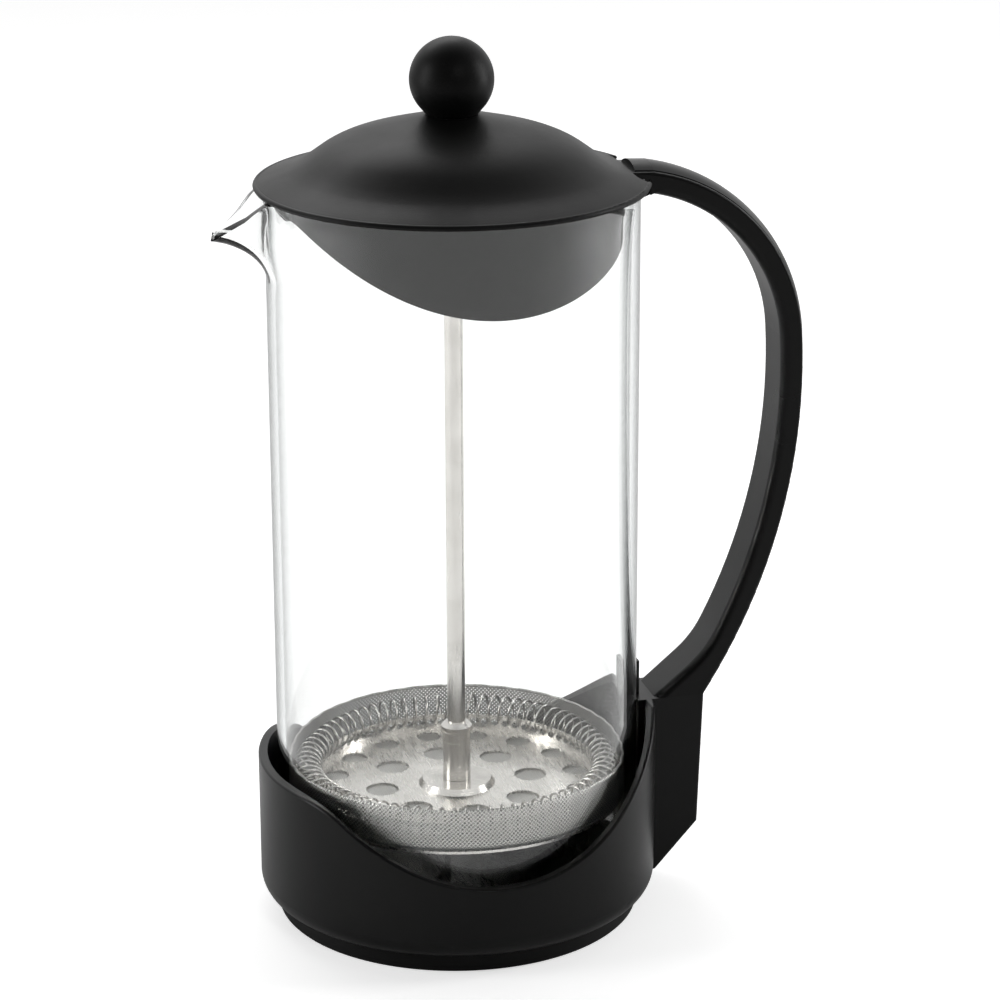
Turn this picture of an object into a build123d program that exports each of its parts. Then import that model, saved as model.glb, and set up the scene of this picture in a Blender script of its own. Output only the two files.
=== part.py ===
from build123d import *
import os
from math import asin, cos, degrees, radians, sin, sqrt

# French press with a glass beaker in a moulded holder.
# Millimetres, +Z up. The origin is the centre of the foot's rest plane, the handle points
# to +X and the spout to -X.

# ---- driving dimensions ----
beaker_radius = 48.0            # outside of the glass
beaker_wall = 2.2
beaker_floor = 2.6
beaker_height = 183.3
beaker_corner = 9.0             # outer radius at the foot of the glass
rim_flare = 1.0                 # how far the lip of the glass stands out
rim_flare_height = 3.4

spout_reach = 13.8              # tip of the spout beyond the glass
spout_root_half = 12.5          # half width where the spout leaves the rim
spout_tip_half = 3.1
spout_depth = 20.5              # root of the spout below the rim
spout_drop = 10.8               # tip of the lip below the rim
spout_tip_depth = 2.4           # depth of the channel's outside at the tip
spout_wall = 1.9
spout_neck_shift = 2.0          # neck nearer the glass than half way
spout_neck_sag = 1.9            # underside of the neck below the tip's
spout_throat_rise = 2.4
spout_throat_reach = 0.8
spout_root_inset = 5.0
spout_root_sag = 2.5
spout_lip_bow = 0.9             # hollow of the falling lip
spout_headroom = 6.0            # rough spout above the rim, cut off by the lip
rim_flare_start = 1.6
rim_round = 0.9
rim_land = 0.5

holder_wall = 4.75
holder_fit = 0.35               # gap between glass and holder
holder_bottom = 4.7             # underside of the shell above the rest plane
holder_floor = 2.5
holder_edge_round = 5.5
holder_rim_wall = 2.4           # the wall is thinner where it stands free of the glass
holder_rim_start = 17.0
holder_rim_round = 0.6
seat_height = 14.0              # the glass stands on ribs at this level
seat_ring_radius = 30.0
seat_rib = 2.2
seat_rib_count = 6
wave_radius = 57.5              # the rim dips along an arc seen from the side
wave_low = 24.7
front_rim_level = 43.6          # level rim under the spout
front_rim_round = 14.0
seam_level = 54.6               # joint between handle and holder
tab_height = 9.4
tab_half_width = 3.2
tab_thickness = 1.6

boss_reach = 13.75              # beyond the holder's wall, at the seam
boss_taper = 1.4                # its back leans in by this much on the way down
boss_root_reach = 0.8
boss_low_rise = 12.9            # where the slope under the boss ends
boss_edge_round = 0.8

foot_inset = 4.8
foot_wall_width = 5.0
foot_edge = 0.5
foot_tongue_width = 2.0
foot_tongue_height = 1.2
foot_web = 1.6                  # closed underside

handle_width = 16.0
handle_side = 5.8               # thickness of the strap
bow_reach = 41.7                # middle of the strap beyond the glass, at its widest
bow_crown_drop = 0.3            # and below the rim, at its highest
bow_radius = 46.9               # to the middle of the strap
bow_start = 79.9                # angles of the bow's two ends
bow_end = 3.8
handle_lip_level = 2.1          # top of the lip over the rim, above the glass
handle_end_drop = 5.9           # underside of the handle's end below the rim
handle_foot_reach = 0.1         # inner edge of the foot beyond the holder
handle_foot_slope = 40.0
handle_foot_round = 28.0
handle_inner_round = 2.2
handle_outer_round = 0.8
handle_fit = 0.35               # gap between handle and glass
handle_pad_step = 0.7           # the pad against the glass is narrower on each side
handle_pad_depth = 1.5

cover_half_width = 6.2
cover_crown = 1.75
cover_shoulder = 0.25
cover_inset = 1.0
cover_tip_gap = 1.2
cover_foot_rise = 9.0           # lower end of the cover above the seam

spigot_reach = 7.3              # middle of the spigot beyond the holder's wall
spigot_length = 9.0
spigot_width = 9.0
spigot_depth = 10.0
screw_radius = 2.0
screw_head_radius = 3.8
screw_head_height = 2.8
screw_reach = 4.0               # thread above the seam
screw_land = 6.0                # boss left under the spigot
screw_slot_length = 4.6
screw_slot_width = 1.2
screw_slot_depth = 1.4

lid_overhang = 1.8              # beyond the lip of the glass
lid_edge_rise = 1.3
lid_edge_slope = 1.1
lid_brim_width = 4.5            # widths are taken in from the edge
lid_brim_rise = 2.5
lid_step_width = 9.5
lid_step_rise = 4.35
lid_shoulder_width = 18.0
lid_shoulder_rise = 10.0
lid_mid_radius = 18.0
lid_mid_rise = 15.4
lid_top_radius = 7.0
lid_top_rise = 18.2
lid_wall = 2.2
lid_lip_round = 0.4
lid_web_land = 1.0              # inside of the dome above the guard's seat
lid_boss_radius = 8.0
lid_notch_gap = 0.6             # between the notch and the handle's lip
lid_notch_half = 16.0
lid_notch_round = 4.0

guard_gap = 2.3                 # between the splash guard and the glass
guard_wall = 1.5
guard_depth = 24.5              # below the lid's seat, at its longest
guard_arc_radius = 63.0
guard_arc_shift = 3.5
guard_web = 1.6
guard_web_drop = 0.8            # underside of the web below the lid's seat
bush_wall = 2.0
bush_flange_width = 7.0
bush_flange = 1.4
bush_top_drop = 2.0             # below the top of the dome

knob_radius = 10.8
knob_rise = 8.9                 # centre of the ball above the knob's own foot
knob_foot_radius = 6.6
knob_cone_height = 2.2
insert_radius = 3.9
insert_length = 10.0
insert_depth = 0.6
insert_groove = 1.6
insert_groove_depth = 0.5

rod_radius = 2.45
rod_fit = 0.06
rod_chamfer = 0.4
rod_engagement = 10.0
sleeve_radius = 3.7
sleeve_length = 16.1
sleeve_collar_radius = 4.15
sleeve_collar_height = 1.2
sleeve_collar_step = 0.5
sleeve_chamfer = 1.1

plate_top = 33.3                # upper face of the pressed plate at rest
plate_sheet = 0.6
plate_flange_height = 4.4
plate_flange_sheet = 0.5
outer_hole_inset = 4.9          # from the flange to the outer ring of holes
outer_hole_radius = 3.4
outer_hole_count = 16
inner_hole_inset = 17.5
inner_hole_radius = 4.4
inner_hole_count = 8
hub_radius = 10.3
hub_height = 1.5
hub_bevel = 1.1

coil_radius = 3.8               # of the turns, to the middle of the wire
coil_wire = 0.33                # radius of the wire
coil_turns = 78
coil_rise = 5.4                 # middle of the turns above the plate
lace_fit = 0.6                  # hole round the wire in the flange
lace_inset = 2.2                # flange inside the middle of the turns

screen_gap = 0.8                # between screen and glass
screen_sheet = 0.35
screen_depth = 11.6             # height of the screen's wall
screen_corner = 2.2

cross_sheet = 0.7
cross_inset = 1.3
cross_rim_width = 4.6
cross_hub_radius = 12.0
cross_arm_width = 7.0
cross_arm_count = 4
stud_flange_radius = 5.0
stud_flange = 0.9
stud_reach = 6.0                # above the hub

part_gap = 0.1                  # between faces that rest on each other
press_gap = 0.02                # between pieces pushed or screwed together
clear_gap = 0.3                 # between pieces that pass each other

# ---- values that follow from them ----
beaker_base = seat_height
beaker_top = beaker_base + beaker_height
beaker_inner = beaker_radius - beaker_wall
rim_radius = beaker_radius + rim_flare
spout_tip = beaker_radius + spout_reach
holder_inner = beaker_radius + holder_fit
holder_outer = holder_inner + holder_wall
wave_centre = wave_low + wave_radius
foot_outer = holder_outer - foot_inset
boss_x = holder_outer + boss_reach
spigot_x = holder_outer + spigot_reach
lid_seat = beaker_top + part_gap
lid_radius = rim_radius + lid_overhang
guard_radius = beaker_inner - guard_gap
rod_bore = rod_radius + rod_fit
bush_radius = rod_bore + bush_wall
knob_foot = lid_seat + lid_top_rise + part_gap
knob_centre = knob_foot + knob_rise
hub_top = plate_top + hub_height
sleeve_foot = hub_top + part_gap
sleeve_top = sleeve_foot + sleeve_length
screen_radius = beaker_inner - screen_gap
screen_floor = plate_top - plate_sheet
cross_top = screen_floor - screen_sheet
coil_ring_radius = screen_radius - screen_sheet - coil_radius - 2 * coil_wire
plate_flange_radius = coil_ring_radius - lace_inset
coil_level = plate_top + coil_rise
handle_half = handle_width / 2
handle_tip = screen_radius + clear_gap
notch_x = handle_tip - lid_notch_gap
half_strap = handle_side / 2
bow_x = beaker_radius + bow_reach - bow_radius
bow_z = beaker_top - bow_crown_drop - bow_radius
far = 500.0                     # longer than anything that a cutter has to reach


def strap_sweep():
    """Centre and radius of the long arc that leaves the bow and ends at the boss's back."""
    way = (cos(radians(bow_end)), sin(radians(bow_end)))
    start = (bow_x + (bow_radius + half_strap) * way[0], bow_z + (bow_radius + half_strap) * way[1])
    chord = (boss_x - start[0], seam_level - start[1])
    radius = -(chord[0] ** 2 + chord[1] ** 2) / (2 * (chord[0] * way[0] + chord[1] * way[1]))
    centre = (start[0] - radius * way[0], start[1] - radius * way[1])
    return centre, radius - half_strap


sweep_centre, sweep_radius = strap_sweep()

os.makedirs("parts", exist_ok=True)


def tube(outer, inner, low, high):
    ring = Circle(outer) - Circle(inner)
    return extrude(Plane.XY.offset(low) * ring, high - low)


def rod(radius, low, high):
    return extrude(Plane.XY.offset(low) * Circle(radius), high - low)


def block(x_low, x_high, y_half, z_low, z_high):
    size = (x_high - x_low, 2 * y_half, z_high - z_low)
    return Pos((x_low + x_high) / 2, 0, (z_low + z_high) / 2) * Box(*size)


def side_plate(outline, half):
    """Side view outline, closed and in X and Z, made as thick as 2 * half along Y."""
    return extrude(Plane.XZ * outline, half, both=True)


def turned(points):
    """Solid turned about Z from straight-sided points (radius, height)."""
    return revolve(Plane.XZ * make_face(Polyline(*points, close=True)), Axis.Z)


def ring_of(shape, count):
    return [Rot(0, 0, i * 360 / count) * shape for i in range(count)]


def on_arc(centre_x, centre_z, radius, angle):
    return (centre_x + radius * cos(radians(angle)), centre_z + radius * sin(radians(angle)))


# ---- holder ----
def wave_cutter():
    """Everything above the wavy rim, seen from the side."""
    corner_x = -sqrt(wave_radius**2 - (wave_centre - front_rim_level) ** 2)
    dip = Pos(0, wave_centre) * Circle(wave_radius)
    front = Pos(-far / 2, front_rim_level + far / 2) * Rectangle(far, far)
    back = Pos(wave_radius / 2 + far / 2, seam_level + far / 2) * Rectangle(far, far)
    shape = dip + front + back
    corner = shape.vertices().sort_by_distance((corner_x, front_rim_level))[0]
    return side_plate(fillet(corner, front_rim_round), far)


def boss():
    floor = holder_bottom
    outline = Polyline(
        (holder_inner, floor),
        (holder_outer + boss_root_reach, floor),
        (boss_x - boss_taper, floor + boss_low_rise),
        (boss_x, seam_level),
        (holder_inner, seam_level),
        close=True,
    )
    solid = side_plate(make_face(outline), handle_half)
    outer_edges = solid.edges().filter_by(lambda e: e.center().X > holder_outer + 2 * boss_root_reach)
    upright = outer_edges.filter_by(lambda e: abs(e.center().Y) > handle_half - boss_edge_round)
    upright = upright.filter_by(lambda e: e.center().Z < seam_level - boss_edge_round)
    return fillet(upright, boss_edge_round)


def seat():
    """Ring and ribs that carry the glass."""
    low = holder_bottom + holder_floor
    ring = tube(seat_ring_radius + seat_rib, seat_ring_radius, low, seat_height - part_gap)
    reach = beaker_inner - beaker_corner
    rib = block(seat_ring_radius / 3, reach, seat_rib / 2, low, seat_height - part_gap)
    for turned_rib in ring_of(rib, seat_rib_count):
        ring += turned_rib
    return ring


def foot_groove(gap):
    middle = foot_outer - foot_wall_width / 2
    half = foot_tongue_width / 2
    return tube(middle + half + gap, middle - half - gap, holder_bottom - gap,
                holder_bottom + foot_tongue_height + gap)


def screw_bore():
    head_seat = seam_level - spigot_depth - screw_land
    shank = rod(screw_radius + press_gap, head_seat - 1, seam_level + screw_reach + part_gap)
    head = rod(screw_head_radius + part_gap, -1, head_seat)
    return Pos(spigot_x, 0, 0) * (shank + head)


def spigot(gap):
    low = seam_level - spigot_depth - gap
    half = spigot_length / 2 + gap
    return block(spigot_x - half, spigot_x + half, spigot_width / 2 + gap, low, seam_level)


def base_holder():
    shell = rod(holder_outer, holder_bottom, seam_level)
    shell = fillet(shell.edges().group_by(Axis.Z)[0], holder_edge_round)
    shell -= wave_cutter()
    rim = shell.edges().filter_by(lambda e: (e @ 0.5).Z > wave_low - 1)
    shell = fillet(rim, holder_rim_round)
    shell -= rod(holder_outer - holder_rim_wall, holder_rim_start, far)
    shell += boss()
    shell += block(holder_inner - 1, holder_inner + tab_thickness, tab_half_width,
                   seam_level - 1, seam_level + tab_height)
    shell -= rod(holder_inner, holder_bottom + holder_floor, far)
    shell += seat()
    shell -= foot_groove(press_gap)
    shell -= spigot(press_gap)
    shell -= screw_bore()
    return shell


def base_foot():
    """Shallow pan let into the holder, its whole underside flat."""
    pan = rod(foot_outer, 0, holder_bottom)
    pan = chamfer(pan.edges().group_by(Axis.Z)[0], foot_edge)
    pan -= rod(foot_outer - foot_wall_width, foot_web, holder_bottom + 1)
    return pan + foot_groove(0)


# ---- handle ----
def bow_point(offset, angle):
    return on_arc(bow_x, bow_z, bow_radius + offset, angle)


def sweep_point(offset, angle):
    return on_arc(*sweep_centre, sweep_radius + offset, angle)


def sweep_angle_at(offset, level):
    return degrees(asin((level - sweep_centre[1]) / (sweep_radius + offset)))


def sloped_foot_knee(offset):
    """Where the slope of the foot meets the inner line of the strap."""
    slope = radians(handle_foot_slope)
    radius = sweep_radius + offset
    px = holder_outer + handle_foot_reach - sweep_centre[0]
    pz = seam_level - sweep_centre[1]
    along = px * cos(slope) + pz * sin(slope)
    reach = sqrt(along**2 - px**2 - pz**2 + radius**2) - along
    return (px + sweep_centre[0] + reach * cos(slope), seam_level + reach * sin(slope))


def strap_line(offset, low_angle):
    """Edges of the strap's long line at an offset from its middle, from the top end down."""
    bow_mid = (bow_start + bow_end) / 2
    sweep_mid = (bow_end + low_angle) / 2
    joint = bow_point(offset, bow_end)
    return [
        ThreePointArc(bow_point(offset, bow_start), bow_point(offset, bow_mid), joint),
        ThreePointArc(joint, sweep_point(offset, sweep_mid), sweep_point(offset, low_angle)),
    ]


def handle_outline():
    knee = sloped_foot_knee(-half_strap)
    knee_angle = sweep_angle_at(-half_strap, knee[1])
    outer = strap_line(half_strap, sweep_angle_at(half_strap, seam_level))
    inner = strap_line(-half_strap, knee_angle)
    lip = (handle_tip, beaker_top + handle_lip_level)
    under = (handle_tip, beaker_top - handle_end_drop)
    edges = [
        Line(lip, outer[0] @ 0),
        *outer,
        Polyline(outer[1] @ 1, (holder_outer + handle_foot_reach, seam_level), knee),
        *inner,
        Polyline(inner[0] @ 0, under, lip),
    ]
    face = make_face(edges)
    corner = face.vertices().sort_by_distance(knee)[0]
    return fillet(corner, handle_foot_round)


def strap_offset(point):
    """How far a point in the side view lies outside the middle line of the strap."""
    if point.Z > bow_point(0, bow_end)[1]:
        return sqrt((point.X - bow_x) ** 2 + (point.Z - bow_z) ** 2) - bow_radius
    return sqrt((point.X - sweep_centre[0]) ** 2 + (point.Z - sweep_centre[1]) ** 2) - sweep_radius


def long_side_edges(solid):
    sides = solid.edges().filter_by(lambda e: abs(e.center().Y) > handle_half - press_gap)
    return sides.filter_by(lambda e: e.length > handle_width and e.center().Z > seam_level + 1)


def cover_strip(gap, crowned):
    """Strip let into the back of the handle, crowned, or with a flat top as the cutter for its bed."""
    start = (handle_tip + cover_tip_gap - gap, beaker_top + handle_lip_level)
    low_angle = sweep_angle_at(half_strap, seam_level + cover_foot_rise - gap)
    arcs = strap_line(half_strap, low_angle)
    path = Plane.XZ * Wire([Line(start, arcs[0] @ 0), *arcs])
    half = cover_half_width + gap
    low = -cover_inset - gap
    edges = [Polyline((-half, cover_shoulder), (-half, low), (half, low), (half, cover_shoulder))]
    if crowned:
        edges.append(ThreePointArc((half, cover_shoulder), (0, cover_crown), (-half, cover_shoulder)))
    else:
        high = 2 * cover_crown
        edges.append(Polyline((half, cover_shoulder), (half, high), (-half, high), (-half, cover_shoulder)))
    section = Plane(origin=path @ 0, x_dir=(0, 1, 0), z_dir=path % 0) * make_face(edges)
    return sweep(section, path)


def handle():
    solid = side_plate(handle_outline(), handle_half)
    outer = long_side_edges(solid).filter_by(lambda e: strap_offset(e @ 0.5) > 0)
    solid = fillet(outer, handle_outer_round)
    inner = long_side_edges(solid).filter_by(lambda e: strap_offset(e @ 0.5) < 0)
    solid = fillet(inner, handle_inner_round)
    glass = rim_radius + handle_fit
    solid -= rod(glass, 0, beaker_top + handle_fit)
    pad_corners = rod(glass + handle_pad_depth, bow_z, beaker_top)
    solid -= pad_corners - block(0, far, handle_half - handle_pad_step, 0, far)
    solid -= cover_strip(press_gap, False)
    solid += spigot(0)
    return solid - screw_bore()


def handle_cover():
    return cover_strip(0, True)


def handle_screw():
    head_seat = seam_level - spigot_depth - screw_land
    head_low = head_seat - screw_head_height
    shank = rod(screw_radius, head_seat - part_gap, seam_level + screw_reach)
    shank = chamfer(shank.edges().group_by(Axis.Z)[-1], screw_radius / 2)
    head = rod(screw_head_radius, head_low, head_seat)
    head = fillet(head.edges().group_by(Axis.Z)[0], screw_head_height / 3)
    slot = block(-screw_slot_length / 2, screw_slot_length / 2, screw_slot_width / 2,
                 head_low - 1, head_low + screw_slot_depth)
    return Pos(spigot_x, 0, 0) * (head + shank - slot - Rot(0, 0, 90) * slot)


# ---- beaker ----
def spout_section(x, low, half, high):
    """Round-bottomed upright section across the spout, closed at the top."""
    drop = min(half, high - low - 1)
    outline = [
        Line((-half, high), (-half, low + drop)),
        EllipticalCenterArc((0, low + drop), half, drop, 180, arc_size=180),
        Line((half, low + drop), (half, high)),
        Line((half, high), (-half, high)),
    ]
    return Plane(origin=(x, 0, 0), x_dir=(0, 1, 0), z_dir=(1, 0, 0)) * make_face(outline)


def spout_body(inset):
    """Outside of the spout, or its channel when inset by the wall."""
    high = beaker_top + spout_headroom
    root_low = beaker_top - spout_depth + inset
    tip_low = beaker_top - spout_drop - spout_tip_depth + inset
    root_x = -beaker_radius + spout_root_inset
    throat_x = -beaker_radius - spout_throat_reach
    neck_x = -(beaker_radius + spout_tip) / 2 + spout_neck_shift
    tip_x = -spout_tip + inset / 2
    neck_half = (spout_root_half + spout_tip_half) / 2 - inset
    root = spout_section(root_x, root_low - spout_root_sag, spout_root_half - inset, high)
    throat = spout_section(throat_x, root_low + spout_throat_rise, spout_root_half - inset, high)
    neck = spout_section(neck_x, tip_low - spout_neck_sag, neck_half, high)
    tip = spout_section(tip_x, tip_low, spout_tip_half - inset * spout_tip_half / spout_wall / 2, high)
    return loft([root, throat, neck, tip])


def spout_lip_cutter():
    """Everything above the falling lip of the spout, seen from the side."""
    root = (-beaker_radius + 1, beaker_top)
    tip = (-spout_tip - 1, beaker_top - spout_drop)
    middle = ((root[0] + tip[0]) / 2 - spout_lip_bow, (root[1] + tip[1]) / 2 + spout_lip_bow)
    high = beaker_top + far
    edges = [
        ThreePointArc(root, middle, tip),
        Polyline(tip, (-far, tip[1]), (-far, high), (0, high), (0, beaker_top), root),
    ]
    return side_plate(make_face(edges), far)


def beaker():
    outside = rod(beaker_radius, beaker_base, beaker_top)
    outside = fillet(outside.edges().group_by(Axis.Z)[0], beaker_corner)
    flare_low = beaker_top - rim_flare_height
    flare_foot = (beaker_radius, flare_low)
    flare_bend = (beaker_radius + rim_flare / 4, flare_low + rim_flare_start)
    flare_edge = (rim_radius, beaker_top - rim_round)
    flare_top = (rim_radius - rim_land, beaker_top)
    inner_top = (beaker_inner, beaker_top)
    edges = [
        ThreePointArc(flare_foot, flare_bend, flare_edge),
        Polyline(flare_edge, flare_top, inner_top, (beaker_inner, flare_low), flare_foot),
    ]
    flare = revolve(Plane.XZ * make_face(edges), Axis.Z)
    cavity = rod(beaker_inner, beaker_base + beaker_floor, beaker_top + 1)
    cavity = fillet(cavity.edges().group_by(Axis.Z)[0], beaker_corner - beaker_wall)
    spout = spout_body(0) - spout_lip_cutter()
    return outside + flare + spout - cavity - spout_body(spout_wall)


# ---- lid ----
def lid_curve(drop):
    """Side view of the dome, lowered by drop, from the top to the start of the brim's edge."""
    points = [
        (lid_top_radius, lid_top_rise),
        (lid_mid_radius, lid_mid_rise),
        (lid_radius - lid_shoulder_width, lid_shoulder_rise),
        (lid_radius - lid_step_width, lid_step_rise),
        (lid_radius - lid_brim_width, lid_brim_rise),
    ]
    return [(r, lid_seat + rise - drop) for r, rise in points]


def notch_cutter():
    reach = lid_radius + 10
    plan = Pos((notch_x + reach) / 2, 0) * Rectangle(reach - notch_x, 2 * lid_notch_half)
    corners = plan.vertices().group_by(Axis.X)[0]
    return extrude(Plane.XY.offset(lid_seat - 5) * fillet(corners, lid_notch_round), lid_top_rise)


def lid_dome():
    top = lid_curve(0)
    under = lid_curve(lid_wall)
    bore = bush_radius + press_gap
    guard_seat = guard_radius + press_gap
    web_top = lid_seat + guard_web - guard_web_drop + part_gap
    inner_top = under[0][1] - lid_web_land
    edge = (lid_radius, lid_seat + lid_edge_rise / 2)
    brim = (lid_radius - lid_edge_slope, lid_seat + lid_edge_rise)
    inner_end = (guard_seat, lid_seat + lid_brim_rise - lid_wall + lid_web_land)
    lip = (lid_radius - lid_lip_round, lid_seat)
    edge_bend = (lid_radius - lid_lip_round / 2, lid_seat + lid_edge_rise - lid_lip_round / 2)
    edges = [
        Line((bore, top[0][1]), top[0]),
        Spline(*top, brim),
        ThreePointArc(brim, edge_bend, edge),
        Line(edge, lip),
        Line(lip, (guard_seat, lid_seat)),
        Line((guard_seat, lid_seat), inner_end),
        Spline(inner_end, under[3], under[2], under[1], (lid_boss_radius, inner_top)),
        Line((lid_boss_radius, inner_top), (lid_boss_radius, web_top)),
        Line((lid_boss_radius, web_top), (bore, web_top)),
        Line((bore, web_top), (bore, top[0][1])),
    ]
    return revolve(Plane.XZ * make_face(edges), Axis.Z) - notch_cutter()


def splash_guard():
    guard_low = lid_seat - guard_depth
    web_low = lid_seat - guard_web_drop
    web_top = web_low + guard_web
    skirt = tube(guard_radius, guard_radius - guard_wall, guard_low, web_top)
    centre_z = guard_low + guard_arc_radius
    arch = Pos(guard_arc_shift, centre_z) * Circle(guard_arc_radius)
    below = Pos(guard_arc_shift, guard_low - far / 2 + guard_arc_radius) * Rectangle(far, far)
    skirt -= side_plate(below - arch, far)
    web = tube(guard_radius - guard_wall / 2, bush_radius + press_gap, web_low, web_top)
    return skirt + web


def rod_bush():
    low = lid_seat - guard_web_drop - part_gap
    top = lid_seat + lid_top_rise - bush_top_drop
    bush = tube(bush_radius, rod_bore, low - bush_flange, top)
    return bush + tube(bush_radius + bush_flange_width, rod_bore, low - bush_flange, low)


# ---- plunger ----
def knob():
    cone_top = knob_foot + knob_cone_height
    depth = knob_centre - cone_top
    cone_radius = sqrt(knob_radius**2 - depth**2)
    side = (knob_radius, knob_centre)
    edges = [
        Line((0, knob_foot), (knob_foot_radius, knob_foot)),
        Line((knob_foot_radius, knob_foot), (cone_radius, cone_top)),
        ThreePointArc((cone_radius, cone_top), side, (0, knob_centre + knob_radius)),
        Line((0, knob_centre + knob_radius), (0, knob_foot)),
    ]
    ball = revolve(Plane.XZ * make_face(edges), Axis.Z)
    pocket_low = knob_foot + insert_depth
    ball -= rod(insert_radius + press_gap, pocket_low, pocket_low + insert_length + press_gap)
    return ball - rod(rod_radius + part_gap, knob_foot - 1, pocket_low + 1)


def knob_insert():
    low = knob_foot + insert_depth
    body = tube(insert_radius, rod_radius + press_gap, low, low + insert_length)
    middle = low + insert_length / 2
    groove = tube(2 * insert_radius, insert_radius - insert_groove_depth,
                  middle - insert_groove / 2, middle + insert_groove / 2)
    return body - groove


def plunger_rod():
    low = sleeve_top - rod_engagement
    high = knob_foot + insert_depth + insert_length - part_gap
    shaft = rod(rod_radius, low, high)
    return chamfer(shaft.edges().group_by(Axis.Z)[0] + shaft.edges().group_by(Axis.Z)[-1], rod_chamfer)


def sleeve_nut():
    bore = rod_radius + press_gap
    collar_low = sleeve_top - sleeve_chamfer - sleeve_collar_height
    collar = turned([
        (bore, collar_low - sleeve_collar_step),
        (sleeve_radius, collar_low - sleeve_collar_step),
        (sleeve_collar_radius, collar_low),
        (sleeve_collar_radius, collar_low + sleeve_collar_height),
        (sleeve_collar_radius - sleeve_chamfer, sleeve_top),
        (bore, sleeve_top),
    ])
    body = tube(sleeve_radius, bore, sleeve_foot, collar_low)
    return body + collar


def centre_stud():
    low = cross_top - cross_sheet
    stud = rod(rod_radius - press_gap, low, sleeve_foot + stud_reach)
    stud = chamfer(stud.edges().group_by(Axis.Z)[-1], rod_chamfer)
    foot = rod(stud_flange_radius, low - stud_flange, low)
    return stud + fillet(foot.edges().group_by(Axis.Z)[0], stud_flange / 2)


def spiral_plate():
    low = plate_top - plate_sheet
    flange_in = plate_flange_radius - plate_flange_sheet / 2
    flange_out = plate_flange_radius + plate_flange_sheet / 2
    plate = tube(flange_out, rod_bore, low, plate_top)
    plate += tube(flange_out, flange_in, low, plate_top + plate_flange_height)
    inner = Pos(plate_flange_radius - inner_hole_inset, 0, 0) * rod(inner_hole_radius, low - 1, plate_top + 1)
    outer = Pos(plate_flange_radius - outer_hole_inset, 0, 0) * rod(outer_hole_radius, low - 1, plate_top + 1)
    cuts = ring_of(inner, inner_hole_count) + ring_of(outer, outer_hole_count)
    lace = Rot(0, 90, 0) * Cylinder(coil_wire + lace_fit, 4 * plate_flange_sheet)
    lace = Pos(plate_flange_radius, 0, coil_level - sqrt(coil_radius**2 - lace_inset**2)) * lace
    cuts += ring_of(lace, coil_turns)
    return plate - cuts


def coil_spring():
    """The laced spring, as one closed turn for each turn of the coil."""
    turn = Pos(coil_ring_radius, 0, coil_level) * Rot(90, 0, 0) * Torus(coil_radius, coil_wire)
    return Compound(children=ring_of(turn, coil_turns))


def hub_washer():
    return turned([
        (rod_bore, plate_top),
        (hub_radius, plate_top),
        (hub_radius - hub_bevel, hub_top),
        (rod_bore, hub_top),
    ])


def mesh_screen():
    low = cross_top
    screen_top = low + screen_depth
    cup = rod(screen_radius, low, screen_top)
    cup = fillet(cup.edges().group_by(Axis.Z)[0], screen_corner)
    hollow = rod(screen_radius - screen_sheet, screen_floor, screen_top + 1)
    hollow = fillet(hollow.edges().group_by(Axis.Z)[0], screen_corner - screen_sheet)
    return cup - hollow - rod(rod_bore, low - 1, screen_top)


def cross_plate():
    low = cross_top - cross_sheet
    outer = screen_radius - screen_corner + cross_inset
    plate = tube(outer, rod_bore, low, cross_top)
    window = tube(outer - cross_rim_width, cross_hub_radius, low - 1, cross_top + 1)
    for i in range(cross_arm_count // 2):
        window -= Rot(0, 0, i * 360 / cross_arm_count) * block(-far, far, cross_arm_width / 2, 0, far)
    return plate - window


pieces = {
    "base_holder": base_holder,
    "base_foot": base_foot,
    "handle": handle,
    "handle_cover": handle_cover,
    "handle_screw": handle_screw,
    "beaker": beaker,
    "lid_dome": lid_dome,
    "splash_guard": splash_guard,
    "rod_bush": rod_bush,
    "knob": knob,
    "knob_insert": knob_insert,
    "plunger_rod": plunger_rod,
    "sleeve_nut": sleeve_nut,
    "centre_stud": centre_stud,
    "hub_washer": hub_washer,
    "spiral_plate": spiral_plate,
    "coil_spring": coil_spring,
    "mesh_screen": mesh_screen,
    "cross_plate": cross_plate,
}

if __name__ == "__main__":
    for name, make in pieces.items():
        export_step(make(), "parts/" + name + ".step")
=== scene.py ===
import math
import bpy
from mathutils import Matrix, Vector


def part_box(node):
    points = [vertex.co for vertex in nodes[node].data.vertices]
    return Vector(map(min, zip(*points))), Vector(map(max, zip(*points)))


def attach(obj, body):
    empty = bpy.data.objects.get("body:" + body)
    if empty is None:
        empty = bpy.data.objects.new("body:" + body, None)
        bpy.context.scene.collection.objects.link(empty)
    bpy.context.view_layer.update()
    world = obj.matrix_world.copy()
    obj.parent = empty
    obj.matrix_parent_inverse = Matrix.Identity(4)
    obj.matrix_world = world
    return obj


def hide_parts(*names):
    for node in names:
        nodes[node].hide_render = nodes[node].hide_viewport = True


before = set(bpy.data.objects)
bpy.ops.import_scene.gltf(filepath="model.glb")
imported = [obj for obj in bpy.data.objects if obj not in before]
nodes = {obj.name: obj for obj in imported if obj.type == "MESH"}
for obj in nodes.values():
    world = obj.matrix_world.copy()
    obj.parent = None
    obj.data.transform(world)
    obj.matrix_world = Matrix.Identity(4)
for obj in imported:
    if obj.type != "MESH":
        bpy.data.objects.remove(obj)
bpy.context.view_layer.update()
mm = 0.001
tau = 2 * math.pi
print("frame loaded:", len(nodes), "nodes")


# camera, floor and light

cameraPlace = {
    "spot": (-200.6 * mm, -835.6 * mm, 396.4 * mm),
    "turn": (71.733, 0.175, -14.347),  # degrees
    "lens": 124.27,
}


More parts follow.
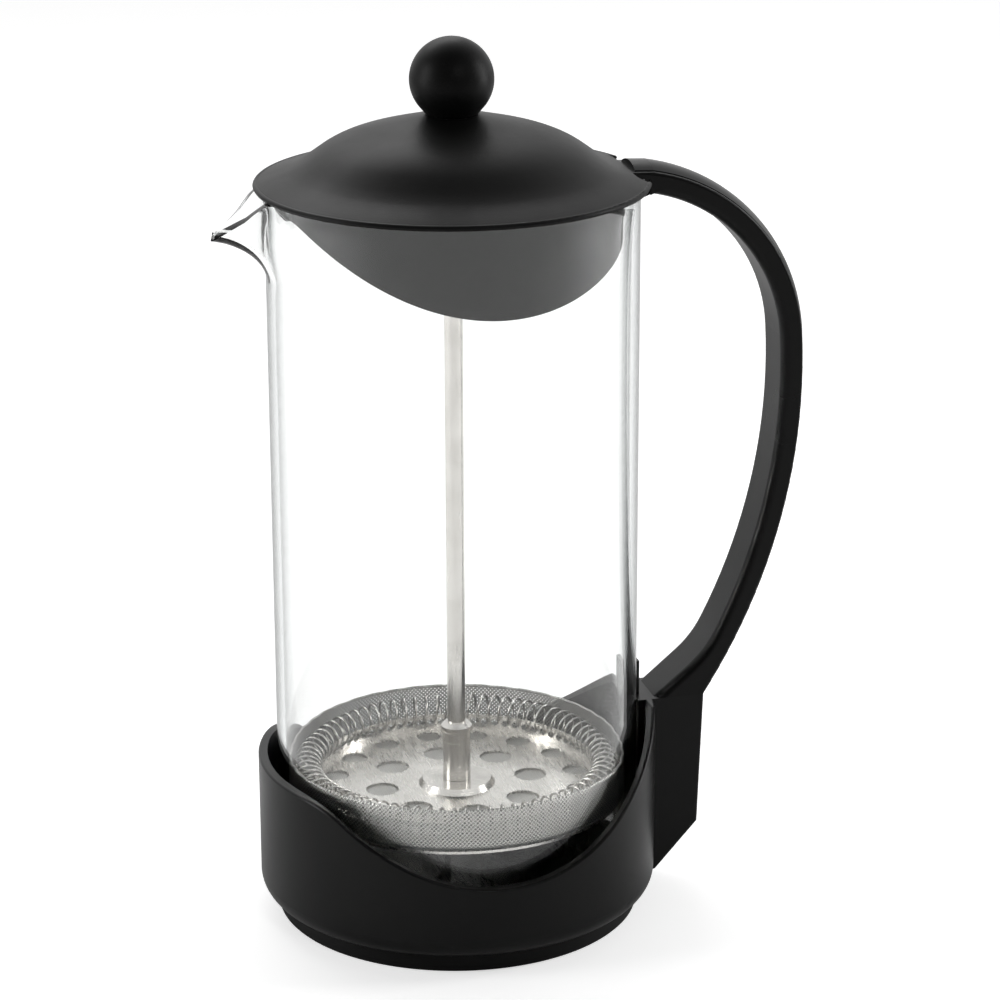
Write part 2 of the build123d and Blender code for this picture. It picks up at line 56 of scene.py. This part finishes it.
def addCamera():
    data = bpy.data.cameras.new("camera")
    data.lens = cameraPlace["lens"]
    data.sensor_width = 36
    data.clip_start = 0.01
    camera = bpy.data.objects.new("camera", data)
    bpy.context.scene.collection.objects.link(camera)
    camera.location = cameraPlace["spot"]
    camera.rotation_euler = [math.radians(a) for a in cameraPlace["turn"]]
    bpy.context.scene.camera = camera


addCamera()

studio = {
    "floorSize": 6.0,
    "floorColor": (0.82, 0.82, 0.82, 1),
    "floorGlow": 0.60,  # lifts the pale floor to white where it is seen
    "backdrop": 1.0,  # what shows behind and through the glass
    "wallBack": 1.0,  # light from the bright wall behind
    "wallFront": 0.05,  # the room on the viewer's side is dark
    "backWay": (0.24, 0.97, 0.12),
    "turnToWall": (-0.05, 0.75),  # where the dark room turns into the bright wall
    "lights": [
        # name, place, aim, size x, size y, watts
        ("topBox", (-0.05, 0.75, 0.85), (0, 0, 0.20), 0.80, 0.30, 2.5),
        ("leftBox", (-1.25, 0.05, 0.45), (0, 0, 0.10), 0.45, 0.90, 7.0),
        ("rightBox", (1.25, -0.15, 0.45), (0, 0, 0.10), 0.35, 0.90, 8.0),
        ("windowBox", (0.20, -1.30, 1.00), (0, 0, 0.05), 0.30, 0.22, 1.8),
    ],
}


def addFloor():
    bpy.ops.object.select_all(action="DESELECT")
    bpy.ops.mesh.primitive_plane_add(size=studio["floorSize"], location=(0, 0, -0.0002))
    floor = bpy.context.object
    floor.name = "floor"
    mat = bpy.data.materials.new("paleFloor")
    mat.use_nodes = True
    tree = mat.node_tree
    shader = tree.nodes["Principled BSDF"]
    shader.inputs["Base Color"].default_value = studio["floorColor"]
    shader.inputs["Roughness"].default_value = 0.85
    shader.inputs["Specular IOR Level"].default_value = 0.2
    shader.inputs["Emission Color"].default_value = (1, 1, 1, 1)
    glow = tree.nodes.new("ShaderNodeMath")
    glow.operation = "MULTIPLY"
    glow.inputs[1].default_value = studio["floorGlow"]
    rays = tree.nodes.new("ShaderNodeLightPath")
    seen = tree.nodes.new("ShaderNodeMath")
    seen.operation = "MAXIMUM"
    tree.links.new(rays.outputs["Is Camera Ray"], seen.inputs[0])
    tree.links.new(rays.outputs["Is Transmission Ray"], seen.inputs[1])
    tree.links.new(seen.outputs[0], glow.inputs[0])
    tree.links.new(glow.outputs[0], shader.inputs["Emission Strength"])
    floor.data.materials.append(mat)


def addWorld():
    world = bpy.data.worlds.new("studio")
    bpy.context.scene.world = world
    world.use_nodes = True
    tree = world.node_tree
    tree.nodes.clear()
    link = tree.links.new
    coord = tree.nodes.new("ShaderNodeTexCoord")
    dot = tree.nodes.new("ShaderNodeVectorMath")
    dot.operation = "DOT_PRODUCT"
    dot.inputs[1].default_value = Vector(studio["backWay"]).normalized()
    link(coord.outputs["Generated"], dot.inputs[0])
    ramp = tree.nodes.new("ShaderNodeMapRange")
    ramp.interpolation_type = "SMOOTHSTEP"
    ramp.inputs["From Min"].default_value, ramp.inputs["From Max"].default_value = studio["turnToWall"]
    ramp.inputs["To Min"].default_value = studio["wallFront"]
    ramp.inputs["To Max"].default_value = studio["wallBack"]
    link(dot.outputs["Value"], ramp.inputs["Value"])
    room = tree.nodes.new("ShaderNodeBackground")
    link(ramp.outputs["Result"], room.inputs["Strength"])
    seen = tree.nodes.new("ShaderNodeBackground")
    seen.inputs["Strength"].default_value = studio["backdrop"]
    for background in (room, seen):
        background.inputs["Color"].default_value = (1, 1, 1, 1)
    rays = tree.nodes.new("ShaderNodeLightPath")
    either = tree.nodes.new("ShaderNodeMath")
    either.operation = "MAXIMUM"
    link(rays.outputs["Is Camera Ray"], either.inputs[0])
    link(rays.outputs["Is Transmission Ray"], either.inputs[1])
    mix = tree.nodes.new("ShaderNodeMixShader")
    link(either.outputs[0], mix.inputs["Fac"])
    link(room.outputs[0], mix.inputs[1])
    link(seen.outputs[0], mix.inputs[2])
    out = tree.nodes.new("ShaderNodeOutputWorld")
    link(mix.outputs[0], out.inputs["Surface"])


def addLights():
    for name, place, aim, sizeX, sizeY, watts in studio["lights"]:
        data = bpy.data.lights.new(name, "AREA")
        data.shape = "RECTANGLE"
        data.size = sizeX
        data.size_y = sizeY
        data.energy = watts
        light = bpy.data.objects.new(name, data)
        bpy.context.scene.collection.objects.link(light)
        light.location = place
        light.rotation_euler = (Vector(aim) - Vector(place)).to_track_quat("-Z", "Y").to_euler()


addFloor()
addWorld()
addLights()
bpy.context.scene.view_settings.view_transform = "Standard"
print("studio ready")


# materials

def newMaterial(name):
    mat = bpy.data.materials.new(name)
    mat.use_nodes = True
    tree = mat.node_tree
    return mat, tree, tree.nodes["Principled BSDF"]


def addNode(tree, kind, settings=None, **values):
    node = tree.nodes.new("ShaderNode" + kind)
    for key, value in (settings or {}).items():
        setattr(node, key, value)
    for key, value in values.items():
        node.inputs[key.replace("_", " ")].default_value = value
    return node


def place(tree, scale=(1, 1, 1), turn=(0, 0, 0)):
    coord = addNode(tree, "TexCoord")
    mapping = addNode(tree, "Mapping", Scale=scale, Rotation=turn)
    tree.links.new(coord.outputs["Object"], mapping.inputs["Vector"])
    return mapping.outputs["Vector"]


def noise(tree, vector, scale, detail=3.0, roughness=0.55):
    node = addNode(tree, "TexNoise", Scale=scale, Detail=detail, Roughness=roughness)
    tree.links.new(vector, node.inputs["Vector"])
    return node.outputs["Fac"]


def stretch(tree, value, low, high, fromLow=0.3, fromHigh=0.7):
    node = addNode(tree, "MapRange")
    node.inputs["From Min"].default_value = fromLow
    node.inputs["From Max"].default_value = fromHigh
    node.inputs["To Min"].default_value = low
    node.inputs["To Max"].default_value = high
    tree.links.new(value, node.inputs["Value"])
    return node.outputs["Result"]


def tint(tree, value, dark, light):
    ramp = addNode(tree, "ValToRGB")
    ramp.color_ramp.elements[0].position = 0.3
    ramp.color_ramp.elements[0].color = (*dark, 1)
    ramp.color_ramp.elements[1].position = 0.7
    ramp.color_ramp.elements[1].color = (*light, 1)
    tree.links.new(value, ramp.inputs["Fac"])
    return ramp.outputs["Color"]


def bumpFrom(tree, height, strength, distance, before=None):
    bump = addNode(tree, "Bump", Strength=strength, Distance=distance)
    tree.links.new(height, bump.inputs["Height"])
    if before is not None:
        tree.links.new(before, bump.inputs["Normal"])
    return bump.outputs["Normal"]


def mouldedPlastic(name, look):
    # black moulded plastic: eroded grain, soft mottling, slightly uneven gloss
    mat, tree, shader = newMaterial(name)
    where = place(tree)
    grain = noise(tree, where, look["grain"], 2.0)
    flow = noise(tree, where, look["flow"], 4.0)
    dark, light = look["dark"], look["light"]
    tree.links.new(tint(tree, flow, (dark,) * 3, (light, light, light * 0.97)), shader.inputs["Base Color"])
    tree.links.new(stretch(tree, flow, *look["gloss"]), shader.inputs["Roughness"])
    coarse = bumpFrom(tree, flow, 0.15, 0.00015)
    tree.links.new(bumpFrom(tree, grain, look["bump"], look["depth"], coarse), shader.inputs["Normal"])
    shader.inputs["Specular IOR Level"].default_value = look["shine"]
    return mat


plastics = {
    "lid": {"grain": 2600, "flow": 60, "dark": 0.0040, "light": 0.0060, "gloss": (0.40, 0.47),
            "bump": 0.55, "depth": 0.00006, "shine": 0.13},
    "holder": {"grain": 3800, "flow": 45, "dark": 0.0035, "light": 0.0055, "gloss": (0.28, 0.36),
               "bump": 0.25, "depth": 0.00003, "shine": 0.22},
    "handle": {"grain": 3800, "flow": 35, "dark": 0.0030, "light": 0.0050, "gloss": (0.26, 0.34),
               "bump": 0.22, "depth": 0.00003, "shine": 0.20},
    "guard": {"grain": 5000, "flow": 30, "dark": 0.020, "light": 0.024, "gloss": (0.30, 0.38),
              "bump": 0.01, "depth": 0.00001, "shine": 0.17},
    "foot": {"grain": 2600, "flow": 50, "dark": 0.0035, "light": 0.0055, "gloss": (0.5, 0.6),
             "bump": 0.4, "depth": 0.00005, "shine": 0.2},
}


def brushedSteel(name, look):
    # steel with fine streaks, longest along the axis where its scale is smallest
    mat, tree, shader = newMaterial(name)
    streak = noise(tree, place(tree, scale=look["streak"]), 1.0, 4.0, 0.6)
    cloud = noise(tree, place(tree), look["cloud"], 3.0)
    tree.links.new(tint(tree, cloud, look["dark"], look["light"]), shader.inputs["Base Color"])
    tree.links.new(stretch(tree, streak, *look["gloss"]), shader.inputs["Roughness"])
    tree.links.new(bumpFrom(tree, streak, look["bump"], 0.00002), shader.inputs["Normal"])
    shader.inputs["Metallic"].default_value = 1.0
    return mat


steels = {
    "rod": {"streak": (900, 900, 60), "cloud": 90, "gloss": (0.16, 0.30), "bump": 0.25,
            "dark": (0.60, 0.58, 0.55), "light": (0.74, 0.72, 0.69)},
    "turned": {"streak": (60, 60, 6000), "cloud": 120, "gloss": (0.14, 0.28), "bump": 0.3,
               "dark": (0.56, 0.54, 0.51), "light": (0.74, 0.72, 0.69)},
    "plate": {"streak": (1500, 120, 1500), "cloud": 70, "gloss": (0.22, 0.34), "bump": 0.16,
              "dark": (0.60, 0.58, 0.55), "light": (0.74, 0.72, 0.69)},
    "wire": {"streak": (700, 700, 700), "cloud": 200, "gloss": (0.10, 0.18), "bump": 0.1,
             "dark": (0.34, 0.33, 0.31), "light": (0.62, 0.61, 0.58)},
    "screw": {"streak": (2500, 200, 2500), "cloud": 150, "gloss": (0.25, 0.4), "bump": 0.2,
              "dark": (0.45, 0.45, 0.44), "light": (0.62, 0.62, 0.61)},
    "brass": {"streak": (60, 60, 5000), "cloud": 120, "gloss": (0.2, 0.35), "bump": 0.3,
              "dark": (0.60, 0.42, 0.18), "light": (0.80, 0.60, 0.28)},
}

# clear is the glass's slight real tint; middle and edge are painted shade for the dark lines along its
# silhouette
glassLook = {"clear": (0.950, 0.956, 0.953), "middle": (0.62, 0.64, 0.64), "edge": (0.16, 0.17, 0.17),
             "clearTo": 0.66, "middleAt": 0.74, "edgeFrom": 0.86, "ior": 1.47, "haze": 0.0, "ripple": 40}


def clearGlass(name):
    # clear glass with a slight real tint, and painted shade: its colour darkens towards the edges, where
    # the wall is seen at a grazing angle
    mat, tree, shader = newMaterial(name)
    ripple = noise(tree, place(tree, scale=(1, 1, 0.35)), glassLook["ripple"], 2.0)
    facing = addNode(tree, "LayerWeight", Blend=0.5)
    edgeShadeFactor = addNode(tree, "Math", {"operation": "ADD"})
    tree.links.new(facing.outputs["Facing"], edgeShadeFactor.inputs[0])
    tree.links.new(stretch(tree, ripple, -0.01, 0.01), edgeShadeFactor.inputs[1])
    # painted shade: the colour runs from the clear tint to dark as the wall turns edge-on
    shade = addNode(tree, "ValToRGB")
    stops = shade.color_ramp.elements
    stops[0].position, stops[1].position = glassLook["clearTo"], glassLook["edgeFrom"]
    stops[0].color = (*glassLook["clear"], 1)
    stops[1].color = (*glassLook["edge"], 1)
    stops.new(glassLook["middleAt"]).color = (*glassLook["middle"], 1)
    tree.links.new(edgeShadeFactor.outputs[0], shade.inputs["Fac"])
    tree.links.new(shade.outputs["Color"], shader.inputs["Base Color"])
    shader.inputs["Roughness"].default_value = glassLook["haze"]
    shader.inputs["IOR"].default_value = glassLook["ior"]
    shader.inputs["Transmission Weight"].default_value = 1.0
    return mat


# light is the steel's own colour; dark is painted shade on the wire flanks and in the dips of the weave
weave = {"pitch": 0.78 * mm, "wire": 0.50, "lift": 0.35,
         "dark": (0.06, 0.06, 0.057), "light": (0.68, 0.67, 0.64)}


def wovenSteel(name):
    # plain weave read from the piece's own UV map, in metres, with open holes; its colour carries painted
    # shade on the wires' flanks and where they pass under each other
    mat, tree, shader = newMaterial(name)
    link = tree.links.new
    uv = addNode(tree, "UVMap", {"uv_map": "weave"})
    turn = addNode(tree, "Mapping", Rotation=(0, 0, math.radians(45)), Scale=(1 / weave["pitch"],) * 3)
    link(uv.outputs["UV"], turn.inputs["Vector"])
    split = addNode(tree, "SeparateXYZ")
    link(turn.outputs["Vector"], split.inputs[0])

    def reckon(kind, a, b=None):
        node = addNode(tree, "Math", {"operation": kind})
        for i, value in enumerate((a, b)):
            if value is None:
                continue
            if isinstance(value, (int, float)):
                node.inputs[i].default_value = value
            else:
                link(value, node.inputs[i])
        return node.outputs[0]

    heights = []
    for across, along in ((0, 1), (1, 0)):
        side = reckon("PINGPONG", split.outputs[across], 0.5)  # 0 on the wire's middle, 0.5 between wires
        rod = reckon("SUBTRACT", 1.0, reckon("MULTIPLY", side, 2 / weave["wire"]))
        over = reckon("COSINE", reckon("MULTIPLY", split.outputs[along], math.pi))
        wireNumber = reckon("FLOOR", reckon("ADD", split.outputs[across], 0.5))
        flip = reckon("COSINE", reckon("MULTIPLY", wireNumber, math.pi))
        lift = reckon("MULTIPLY", reckon("MULTIPLY", over, flip), weave["lift"] * (1 - 2 * across))
        heights.append((rod, lift))
    solid = reckon("GREATER_THAN", reckon("MAXIMUM", heights[0][0], heights[1][0]), 0.0)
    top = reckon("MAXIMUM", reckon("ADD", *heights[0]), reckon("ADD", *heights[1]))
    # painted shade: colour goes from dark where a wire is low to the steel's own colour where it is raised
    link(tint(tree, top, weave["dark"], weave["light"]), shader.inputs["Base Color"])
    link(bumpFrom(tree, top, 0.5, 0.0001), shader.inputs["Normal"])
    link(solid, shader.inputs["Alpha"])
    shader.inputs["Metallic"].default_value = 1.0
    shader.inputs["Roughness"].default_value = 0.3
    return mat


materials = {name: mouldedPlastic(name + "Plastic", look) for name, look in plastics.items()}
materials.update({name: brushedSteel(name + "Steel", look) for name, look in steels.items()})
materials["glass"] = clearGlass("clearGlass")
materials["mesh"] = wovenSteel("wovenSteel")
print("materials ready:", len(materials))

finishOf = {
    "base_holder": "holder", "base_foot": "foot", "handle": "handle", "handle_cover": "handle",
    "handle_screw": "screw", "lid_dome": "lid", "splash_guard": "guard", "rod_bush": "guard",
    "knob": "lid", "knob_insert": "brass", "plunger_rod": "rod", "sleeve_nut": "turned",
    "centre_stud": "turned", "hub_washer": "turned", "spiral_plate": "plate", "cross_plate": "plate",
    "coil_spring": "wire", "mesh_screen": "mesh", "beaker": "glass",
}


def paint(piece, finish):
    piece.data.materials.clear()
    piece.data.materials.append(materials[finish])


for nodeName, finish in finishOf.items():
    paint(nodes[nodeName], finish)
print("frame painted")


# helpers for new pieces

def startCircle(name, radius, z, segments):
    bpy.ops.object.select_all(action="DESELECT")
    bpy.ops.mesh.primitive_circle_add(vertices=segments, radius=radius, fill_type="NOTHING",
                                      location=(0, 0, z))
    piece = bpy.context.object
    piece.name = name
    piece.data.name = name
    bpy.ops.object.transform_apply(location=True, rotation=True, scale=True)
    return piece


def turnedShell(name, profile, segments):
    # a shell drawn up from a circle: each row of the profile (radius, height) is extruded and scaled
    radius, z = profile[0]
    piece = startCircle(name, radius, z, segments)
    bpy.ops.object.mode_set(mode="EDIT")
    bpy.ops.mesh.select_all(action="SELECT")
    for nextRadius, nextZ in profile[1:]:
        bpy.ops.mesh.extrude_edges_move(TRANSFORM_OT_translate={"value": (0, 0, nextZ - z)})
        k = nextRadius / radius
        if abs(k - 1) > 1e-9:
            bpy.ops.transform.resize(value=(k, k, 1), center_override=(0, 0, nextZ))
        radius, z = nextRadius, nextZ
    bpy.ops.object.mode_set(mode="OBJECT")
    return piece


def mergePole(piece, z, radius):
    # closes the small ring left at the axis
    bpy.ops.object.mode_set(mode="EDIT")
    bpy.ops.mesh.select_all(action="DESELECT")
    bpy.ops.object.mode_set(mode="OBJECT")
    for vertex in piece.data.vertices:
        vertex.select = abs(vertex.co.z - z) < 1e-6 and vertex.co.xy.length < radius
    bpy.ops.object.mode_set(mode="EDIT")
    bpy.ops.mesh.merge(type="CENTER")
    bpy.ops.object.mode_set(mode="OBJECT")


def pointOutwards(piece):
    bpy.ops.object.mode_set(mode="EDIT")
    bpy.ops.mesh.select_all(action="SELECT")
    bpy.ops.mesh.remove_doubles(threshold=1e-6)
    bpy.ops.mesh.normals_make_consistent(inside=False)
    bpy.ops.object.mode_set(mode="OBJECT")
    # an open cup can come out either way round, so its outermost face decides
    outermost = max(piece.data.polygons, key=lambda face: face.center.xy.length)
    if outermost.normal.xy.dot(outermost.center.xy) < 0:
        bpy.ops.object.mode_set(mode="EDIT")
        bpy.ops.mesh.flip_normals()
        bpy.ops.object.mode_set(mode="OBJECT")


def applyAll(piece):
    bpy.context.view_layer.objects.active = piece
    for modifier in list(piece.modifiers):
        bpy.ops.object.modifier_apply(modifier=modifier.name)


def giveWall(piece, thickness, offset=-1, rim=0.0, segments=3):
    wall = piece.modifiers.new("wall", "SOLIDIFY")
    wall.thickness = thickness
    wall.offset = offset
    wall.use_even_offset = True
    if rim:
        edge = piece.modifiers.new("rim", "BEVEL")
        edge.width = rim
        edge.segments = segments
        edge.limit_method = "ANGLE"
        edge.angle_limit = math.radians(50)
    applyAll(piece)


def smooth(piece, angle=40):
    bpy.ops.object.select_all(action="DESELECT")
    piece.select_set(True)
    bpy.context.view_layer.objects.active = piece
    bpy.ops.object.shade_smooth_by_angle(angle=math.radians(angle))


def finishPiece(piece, body, node, finish):
    paint(piece, finish)
    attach(piece, body)
    if node:
        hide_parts(node)


def evenRows(radius, low, high, steps):
    return [(radius, low + (high - low) * i / steps) for i in range(1, steps + 1)]


def arcRows(centreR, centreZ, radius, fromDeg, toDeg, steps):
    rows = []
    for i in range(steps + 1):
        angle = math.radians(fromDeg + (toDeg - fromDeg) * i / steps)
        rows.append((centreR + radius * math.cos(angle), centreZ + radius * math.sin(angle)))
    return rows


# beaker

beakerLow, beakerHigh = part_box("beaker")
beaker = {
    "radius": 48.0 * mm, "wall": 2.2 * mm, "corner": 9.0 * mm, "segments": 240, "rimBead": 0.95 * mm,
    "flare": 1.0 * mm, "flareHeight": 3.4 * mm, "rows": 14,
    "spoutReach": 13.6 * mm, "spoutDrop": 10.8 * mm, "spoutStart": 24.0 * mm, "spoutHalf": 14.0 * mm,
    "tipRound": 0.20,
    "floorRows": (0.35, 0.6),  # shares of the radius
    "spoutRows": 20, "flareRows": 6, "cornerRows": 10, "pole": 0.5 * mm,
    "throatOut": 0.3 * mm, "throatDrop": 12.5 * mm, "throatSag": 2.0 * mm,
}


def pullSpout(piece, look, top):
    # draws the rim out and down into the spout: each column of the wall becomes a curve to the lip
    start = top - look["spoutStart"]
    edge = math.sqrt(1 + look["tipRound"] ** 2)
    for vertex in piece.data.vertices:
        x, y, z = vertex.co
        side = abs(y) / look["spoutHalf"]
        if x > 0 or side >= 1 or z <= start:
            continue
        share = (edge - math.sqrt(side * side + look["tipRound"] ** 2)) / (edge - look["tipRound"])
        share = share * share * (1.35 - 0.35 * share) if share < 1 else 1
        t = (z - start) / (top - start)
        end = (look["spoutReach"] * share, top - look["spoutDrop"] * share)
        bend = (look["throatOut"] * share, top - look["throatDrop"] - look["throatSag"] * share)
        plain = (0, start + (top - start) * t)
        out = (2 * t * (1 - t) * bend[0] + t * t * end[0],
               (1 - t) ** 2 * start + 2 * t * (1 - t) * bend[1] + t * t * end[1])
        weight = min(1, share * 2.5)
        vertex.co.x = x - (plain[0] + (out[0] - plain[0]))
        vertex.co.z = plain[1] + (out[1] - plain[1]) * weight


def makeBeaker():
    look = beaker
    low, top = beakerLow.z, beakerHigh.z
    r, c = look["radius"], look["corner"]
    wallStart, spoutStart, flareStart = low + c, top - look["spoutStart"], top - look["flareHeight"]
    rows = [(look["pole"], low)] + [(r * share, low) for share in look["floorRows"]]
    rows += arcRows(r - c, wallStart, c, -90, 0, look["cornerRows"])
    rows += evenRows(r, wallStart, spoutStart, look["rows"])
    rows += evenRows(r, spoutStart, flareStart, look["spoutRows"])
    for i in range(1, look["flareRows"] + 1):
        t = i / look["flareRows"]
        rows.append((r + look["flare"] * t * t, flareStart + look["flareHeight"] * t))
    piece = turnedShell("glassBeaker", rows, look["segments"])
    mergePole(piece, low, 2 * look["pole"])
    pullSpout(piece, look, top)
    pointOutwards(piece)
    giveWall(piece, look["wall"], rim=look["rimBead"], segments=4)
    smooth(piece, 60)
    finishPiece(piece, "holder", "beaker", "glass")
    print("beaker ready:", len(piece.data.polygons))


makeBeaker()


# filter: spring and screen

coilLow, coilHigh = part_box("coil_spring")
coil = {"turns": 78, "wire": 0.33 * mm, "pointsPerTurn": 22, "unrest": 0.10 * mm}


def makeCoil():
    # one wire wound round a ring, its two ends hooked together
    look = coil
    turnRadius = (coilHigh.z - coilLow.z) / 2 - look["wire"]
    ringRadius = coilHigh.x - look["wire"] - turnRadius
    middle = (coilHigh.z + coilLow.z) / 2
    curve = bpy.data.curves.new("coilSpring", "CURVE")
    curve.dimensions = "3D"
    curve.bevel_depth = look["wire"]
    curve.bevel_resolution = 1
    spline = curve.splines.new("POLY")
    count = look["turns"] * look["pointsPerTurn"]
    spline.points.add(count - 1)
    for i in range(count):
        around = tau * i / count
        turn = tau * i / look["pointsPerTurn"]
        wander = look["unrest"] * math.sin(7 * around) + look["unrest"] * 0.6 * math.sin(19 * around + 1)
        r = ringRadius + turnRadius * math.cos(turn) - abs(wander)
        z = middle + turnRadius * math.sin(turn) + wander * 0.5
        spline.points[i].co = (r * math.cos(around), r * math.sin(around), z, 1)
    spline.use_cyclic_u = True
    piece = bpy.data.objects.new("coilSpring", curve)
    bpy.context.scene.collection.objects.link(piece)
    bpy.ops.object.select_all(action="DESELECT")
    piece.select_set(True)
    bpy.context.view_layer.objects.active = piece
    bpy.ops.object.convert(target="MESH")
    piece = bpy.context.object
    smooth(piece, 80)
    finishPiece(piece, "filter", "coil_spring", "wire")
    print("coil ready:", len(piece.data.polygons))


makeCoil()

screenLow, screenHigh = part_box("mesh_screen")
screen = {"corner": 1.6 * mm, "sheet": 0.22 * mm, "hole": 2.6 * mm, "segments": 192, "hem": 0.25 * mm,
          "pucker": 0.16 * mm, "puckers": 44, "floorRows": (0.3, 0.6, 0.85), "cornerRows": 5,
          "wallRows": 6, "hemRows": 6}


def makeScreen():
    look = screen
    outer = screenHigh.x
    low, top = screenLow.z + look["sheet"], screenHigh.z
    c = look["corner"]
    rows = [(look["hole"], low)] + [(outer * share, low) for share in look["floorRows"]]
    rows += arcRows(outer - c, low + c, c, -90, 0, look["cornerRows"])
    rows += evenRows(outer, low + c, top - look["hem"], look["wallRows"])
    rows += arcRows(outer - look["hem"], top - look["hem"], look["hem"], 30, 230, look["hemRows"])
    piece = turnedShell("meshScreen", rows, look["segments"])
    for vertex in piece.data.vertices:
        share = (vertex.co.z - low) / (top - low)
        if share > 0.1:
            around = math.atan2(vertex.co.y, vertex.co.x)
            ripple = math.sin(look["puckers"] * around) + 0.5 * math.sin(17 * around) - 1.5
            shift = look["pucker"] * share * ripple
            vertex.co.x += shift * math.cos(around)
            vertex.co.y += shift * math.sin(around)
    mesh = piece.data
    layer = mesh.uv_layers.new(name="weave")
    for polygon in mesh.polygons:
        middle = polygon.center
        flat = middle.z < low + 0.4 * mm
        home = math.atan2(middle.y, middle.x)
        for loop in polygon.loop_indices:
            co = mesh.vertices[mesh.loops[loop].vertex_index].co
            if flat:
                layer.data[loop].uv = (co.x, co.y)
            else:
                around = math.atan2(co.y, co.x)
                around += tau if around - home < -math.pi else -tau if around - home > math.pi else 0
                layer.data[loop].uv = (around * outer, co.z + co.xy.length)
    pointOutwards(piece)
    giveWall(piece, look["sheet"], offset=0)
    smooth(piece, 60)
    finishPiece(piece, "filter", "mesh_screen", "mesh")
    print("screen ready:", len(piece.data.polygons))


makeScreen()
